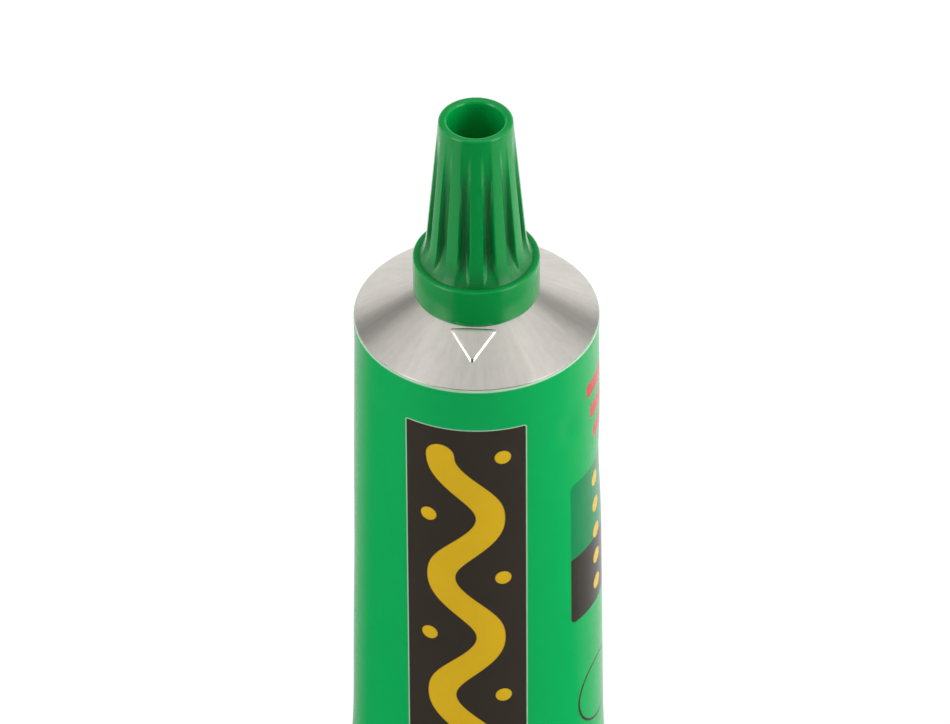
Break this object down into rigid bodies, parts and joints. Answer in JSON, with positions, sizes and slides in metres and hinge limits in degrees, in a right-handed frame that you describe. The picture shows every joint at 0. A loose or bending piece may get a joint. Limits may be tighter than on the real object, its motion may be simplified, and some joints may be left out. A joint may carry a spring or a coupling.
{
  "type": "tube of gel glue",
  "caption": "Collapsible aluminium tube of gel glue with a rolled tail and a fluted, hollow-ended plastic screw cap that turns off a threaded neck.",
  "frame": {"origin": "middle of the lower edge of the rolled tail, on the tube's axis; the tube stands upright on its tail with the cap on top, as in the picture", "axes": "+Z along the tube from the tail to the cap; the tail fold runs along X; -Y is the front, which carries the printed panel"},
  "size_m": [0.0392, 0.025, 0.1207],
  "materials": {
    "enamelled_aluminium": "gloss",
    "bare_aluminium": "satin",
    "cap_plastic": "gloss",
    "liner_foam": "matte",
    "clear_gel": "gloss",
    "sealing_compound": "satin"
  },
  "bodies": {
    "tube": {"tube_shell": "enamelled_aluminium", "nozzle_membrane": "bare_aluminium", "gel_fill": "clear_gel", "tail_sealant": "sealing_compound"},
    "liner": {"cap_liner": "liner_foam"},
    "cap": {"screw_cap": "cap_plastic"}
  },
  "joints": [
    {"name": "cap_lift", "type": "slide", "parent": "tube", "child": "liner", "axis": [0, 0, 1], "range_m": [0, 0.003]},
    {"name": "cap_turn", "type": "hinge", "parent": "liner", "child": "cap", "pos_m": [0, 0, 0.1], "axis": [0, 0, 1], "range_deg": [0, 720]}
  ],
  "couplings": [
    {"joint": "cap_turn", "follows": "cap_lift", "rad_per_m": 4188.8}
  ]
}
